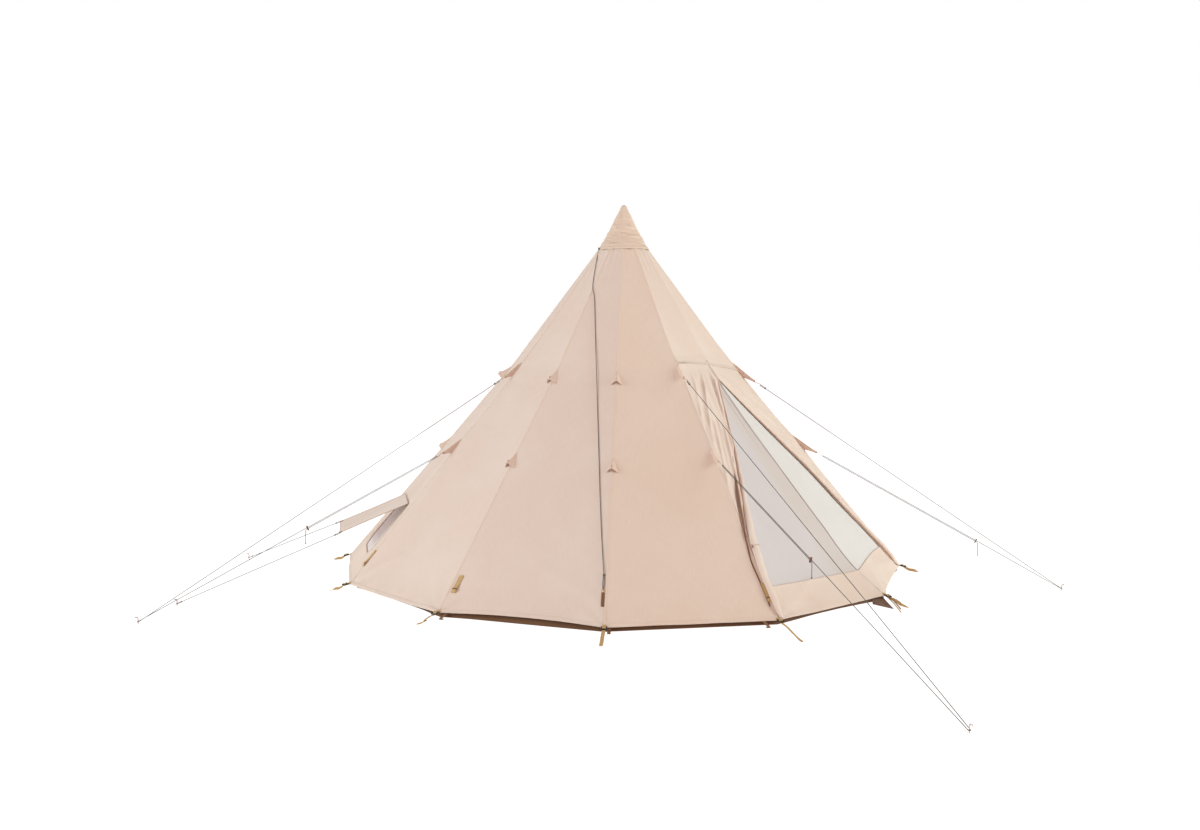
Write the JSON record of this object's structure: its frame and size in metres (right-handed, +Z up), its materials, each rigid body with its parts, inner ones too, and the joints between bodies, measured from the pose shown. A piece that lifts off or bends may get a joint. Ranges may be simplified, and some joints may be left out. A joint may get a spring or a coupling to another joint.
{
  "type": "tipi tent",
  "caption": "Canvas tipi tent on a centre pole, with tied-back door flaps over a mesh door, a side window under a propped awning, a vent cap and guy ropes.",
  "frame": {"origin": "on the ground, on the axis of the centre pole, in the underside of the groundsheet", "axes": "+Z up along the pole, the door faces -Y, the window is on the -X side towards +Y"},
  "size_m": [6.2632, 5.5723, 2.589],
  "materials": {
    "canvas": "matt woven cotton canvas",
    "cap_canvas": "matt woven cotton canvas, wrinkled",
    "insect_mesh": "fine insect mesh",
    "webbing": "ribbed flat webbing",
    "groundsheet_cloth": "coated groundsheet cloth, satin",
    "rope": "braided guy rope",
    "steel": "galvanised wire",
    "pole_metal": "galvanised tube",
    "slider_metal": "brown painted runner"
  },
  "bodies": {
    "root": {"awning_cord_back": "rope", "awning_cord_front": "rope", "awning_peg_back": "steel", "awning_peg_front": "steel", "canvas_back_right": "canvas", "canvas_door_left": "canvas", "canvas_door_right": "canvas", "canvas_front_left": "canvas", "canvas_front_right": "canvas", "canvas_left_back": "canvas", "canvas_left_front": "canvas", "canvas_rear_left": "canvas", "canvas_rear_right": "canvas", "canvas_right_back": "canvas", "canvas_right_front": "canvas", "canvas_window_panel": "canvas", "centre_pole_lower": "pole_metal", "centre_pole_upper": "pole_metal", "door_flap_left": "canvas", "door_flap_right": "canvas", "door_mesh_left": "insect_mesh", "door_mesh_right": "insect_mesh", "groundsheet": "groundsheet_cloth", "guy_peg_back_left": "steel", "guy_peg_back_right": "steel", "guy_peg_front_left": "steel", "guy_peg_front_right": "steel", "guy_rope_back_left": "rope", "guy_rope_back_right": "rope", "guy_rope_front_left": "rope", "guy_rope_front_right": "rope", "guy_slider_back_left": "slider_metal", "guy_slider_back_right": "slider_metal", "guy_slider_front_left": "slider_metal", "guy_slider_front_right": "slider_metal", "hook_back_left_lower": "steel", "hook_back_left_upper": "steel", "hook_back_right_lower": "steel", "hook_back_right_upper": "steel", "hook_front_left_lower": "steel", "hook_front_left_upper": "steel", "hook_front_right_lower": "steel", "hook_front_right_upper": "steel", "strap_back": "webbing", "strap_back_left": "webbing", "strap_back_right": "webbing", "strap_door": "webbing", "strap_front_left": "webbing", "strap_front_right": "webbing", "strap_left": "webbing", "strap_left_back": "webbing", "strap_left_front": "webbing", "strap_right": "webbing", "strap_right_back": "webbing", "strap_right_front": "webbing", "vent_cap": "cap_canvas", "vent_cord": "rope", "window_awning": "canvas", "window_mesh": "insect_mesh"}
  },
  "joints": []
}
